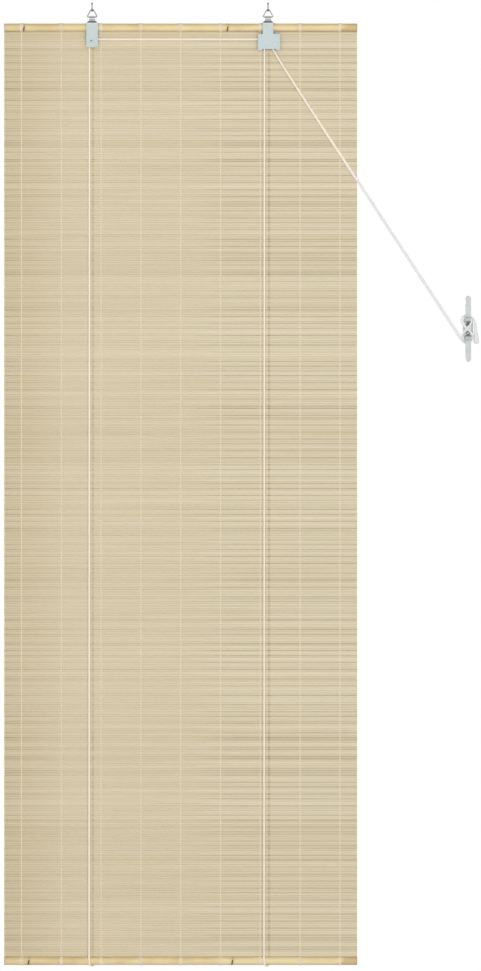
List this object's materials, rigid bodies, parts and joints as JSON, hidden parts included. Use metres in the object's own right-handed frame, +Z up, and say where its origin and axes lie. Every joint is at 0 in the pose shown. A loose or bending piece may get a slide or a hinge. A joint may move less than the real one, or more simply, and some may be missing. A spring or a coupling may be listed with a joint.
{
  "type": "bamboo roll up blind",
  "caption": "Woven bamboo slat blind on wall hooks, let down, with cane rails, lift cords through a roller cord lock, and a wall cleat that holds the pull cords and their tassel.",
  "frame": {"origin": "on the wall plane, midway between the axes of the two screw hooks", "axes": "+X right along the rails as seen from the room, +Y into the wall, +Z up"},
  "size_m": [0.807, 0.0484, 1.6369],
  "materials": {
    "cane": "satin",
    "slats": "satin",
    "thread": "matte",
    "painted_steel": "satin",
    "pulley": "satin",
    "bright_steel": "polished",
    "hook_steel": "satin",
    "cord": "matte",
    "tassel": "matte",
    "cleat": "satin"
  },
  "bodies": {
    "wall_fixings": {"hanging_rings": "bright_steel", "screw_hooks": "hook_steel", "cleat": "cleat", "cleat_screws": "bright_steel", "cleat_cord_wrap": "cord", "tassel_cord": "cord", "cord_tassel": "tassel", "left_pull_cord": "cord", "right_pull_cord": "cord"},
    "blind": {"slat_mat": "slats", "head_rail": "cane", "bottom_rail": "cane", "warp_threads_front": "thread", "warp_threads_back": "thread", "head_rail_lashings": "thread", "bottom_rail_lashings": "thread", "left_bracket": "painted_steel", "left_rail_clip": "painted_steel", "lock_bracket": "painted_steel", "lock_rail_clip": "painted_steel", "axle_rivets": "bright_steel", "left_lift_cord": "cord", "right_lift_cord": "cord", "cord_knots": "cord"},
    "left_pulley": {"left_pulley": "pulley"},
    "lock_pulley": {"lock_pulley": "pulley"},
    "roller_carriage": {"lock_roller_pin": "bright_steel"},
    "lock_roller": {"lock_roller": "bright_steel"}
  },
  "joints": [
    {"name": "blind_swing", "type": "hinge", "parent": "wall_fixings", "child": "blind", "pos_m": [0, -0.015, -0.0114], "axis": [-1, 0, 0], "range_deg": [-0.2, 45], "deforming": ["left_pull_cord", "right_pull_cord"]},
    {"name": "lock_pulley_spin", "type": "hinge", "parent": "blind", "child": "lock_pulley", "pos_m": [0.1497, -0.0212, -0.0557], "axis": [0, 1, 0], "continuous": true},
    {"name": "left_pulley_spin", "type": "hinge", "parent": "blind", "child": "left_pulley", "pos_m": [-0.1505, -0.0212, -0.0527], "axis": [0, 1, 0], "continuous": true},
    {"name": "roller_slide", "type": "slide", "parent": "blind", "child": "roller_carriage", "axis": [0.3007, 0, 0.9537], "range_m": [0, 0.0025]},
    {"name": "roller_spin", "type": "hinge", "parent": "roller_carriage", "child": "lock_roller", "pos_m": [0.1608, -0.0212, -0.0585], "axis": [0, 1, 0], "continuous": true}
  ],
  "couplings": [
    {"joint": "left_pulley_spin", "follows": "lock_pulley_spin", "ratio": 1.8571}
  ]
}
